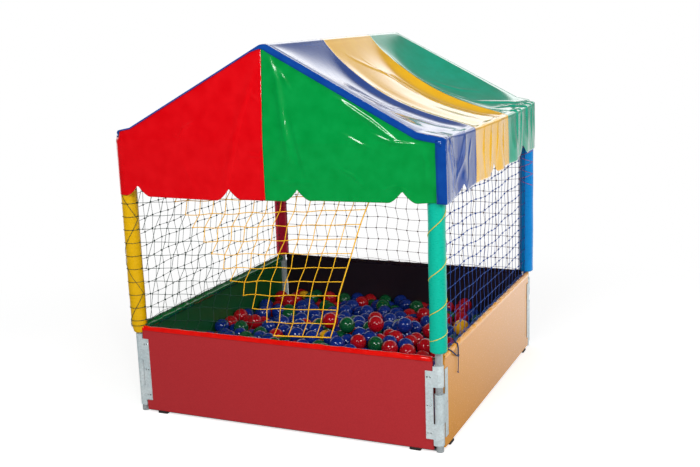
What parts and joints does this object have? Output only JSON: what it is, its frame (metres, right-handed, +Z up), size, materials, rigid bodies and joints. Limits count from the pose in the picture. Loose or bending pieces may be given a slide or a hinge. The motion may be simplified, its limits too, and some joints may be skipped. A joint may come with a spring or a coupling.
{
  "type": "ball pit",
  "caption": "Square children's ball pit with hinged boards, padded corner posts, safety nets, a lift-off tented roof cover and a swinging net door.",
  "frame": {"origin": "centre of the square footprint, on the ground", "axes": "+Z up; the front with the net door faces -Y; the ridge of the roof runs along Y"},
  "size_m": [1.5594, 1.5518, 1.688],
  "materials": {
    "galvanised_steel": "galvanised, satin",
    "zinc_plated_leaf": "zinc plated, satin",
    "roof_tube_steel": "galvanised, satin",
    "black_rubber": "matte",
    "board_red": "painted, satin",
    "board_aubergine": "painted, satin",
    "board_green": "painted, satin",
    "board_orange": "painted, satin",
    "trim_red": "glossy vinyl",
    "trim_blue": "glossy vinyl",
    "trim_green": "glossy vinyl",
    "trim_yellow": "glossy vinyl",
    "foam_yellow": "foam with a smooth skin",
    "foam_teal": "foam with a smooth skin",
    "foam_crimson": "foam with a smooth skin",
    "foam_blue": "foam with a smooth skin",
    "vinyl_blue": "glossy coated cloth",
    "vinyl_yellow": "glossy coated cloth",
    "vinyl_teal": "glossy coated cloth",
    "vinyl_red": "glossy coated cloth",
    "vinyl_green": "glossy coated cloth",
    "mat_foam": "matte foam",
    "net_dark_green": "knotted cord",
    "net_dark_red": "knotted cord",
    "net_blue": "knotted cord",
    "net_green": "knotted cord",
    "net_yellow": "knotted cord",
    "ball_blue": "glossy",
    "ball_red": "glossy",
    "ball_green": "glossy",
    "ball_yellow": "glossy",
    "cord_yellow": "braided cord",
    "cord_blue": "braided cord"
  },
  "bodies": {
    "base": {"front_panel": "board_red", "front_edge_trim": "trim_red", "front_panel_left_foot": "black_rubber", "front_panel_right_foot": "black_rubber", "front_top_rail": "galvanised_steel", "back_panel": "board_aubergine", "back_edge_trim": "trim_blue", "back_panel_left_foot": "black_rubber", "back_panel_right_foot": "black_rubber", "back_top_rail": "galvanised_steel", "left_panel": "board_green", "left_edge_trim": "trim_green", "left_panel_front_foot": "black_rubber", "left_panel_back_foot": "black_rubber", "left_top_rail": "galvanised_steel", "right_panel": "board_orange", "right_edge_trim": "trim_yellow", "right_panel_front_foot": "black_rubber", "right_panel_back_foot": "black_rubber", "right_top_rail": "galvanised_steel", "floor_mat": "mat_foam", "front_left_hinge_outer_leaf": "zinc_plated_leaf", "front_left_hinge_middle_leaf": "zinc_plated_leaf", "front_left_post": "galvanised_steel", "front_left_foam_sleeve": "foam_yellow", "front_right_hinge_outer_leaf": "zinc_plated_leaf", "front_right_hinge_middle_leaf": "zinc_plated_leaf", "front_right_post": "galvanised_steel", "front_right_foam_sleeve": "foam_teal", "back_left_hinge_outer_leaf": "zinc_plated_leaf", "back_left_hinge_middle_leaf": "zinc_plated_leaf", "back_left_post": "galvanised_steel", "back_left_foam_sleeve": "foam_crimson", "back_right_hinge_outer_leaf": "zinc_plated_leaf", "back_right_hinge_middle_leaf": "zinc_plated_leaf", "back_right_post": "galvanised_steel", "back_right_foam_sleeve": "foam_blue", "left_net": "net_dark_green", "back_net": "net_dark_red", "right_net": "net_blue", "front_net": "net_green", "ball_bed": "ball_blue", "loose_ball_blue": "ball_blue", "loose_ball_red": "ball_red", "loose_ball_green": "ball_green", "loose_ball_yellow": "ball_yellow", "loose_ball_red_second": "ball_red", "foam_lashing_cord": "cord_yellow", "net_tie_tail": "cord_blue"},
    "roof_frame": {"front_roof_arch": "roof_tube_steel", "back_roof_arch": "roof_tube_steel", "ridge_tube": "roof_tube_steel"},
    "cover": {"cover_blue_stripe": "vinyl_blue", "cover_yellow_stripe": "vinyl_yellow", "cover_green_stripe": "vinyl_teal", "cover_front_red_gable": "vinyl_red", "cover_front_green_gable": "vinyl_green", "cover_back_red_gable": "vinyl_red", "cover_back_green_gable": "vinyl_green"},
    "net_flap": {"front_net_flap": "net_yellow"}
  },
  "joints": [
    {"name": "roof_lift", "type": "slide", "parent": "base", "child": "roof_frame", "axis": [0, 0, 1], "range_m": [0, 0.32]},
    {"name": "cover_lift", "type": "slide", "parent": "roof_frame", "child": "cover", "axis": [0, 0, 1], "range_m": [0, 0.68]},
    {"name": "net_flap_swing", "type": "hinge", "parent": "base", "child": "net_flap", "pos_m": [0, -0.73, 1.29], "axis": [1, 0, 0], "range_deg": [-4, 50]}
  ]
}
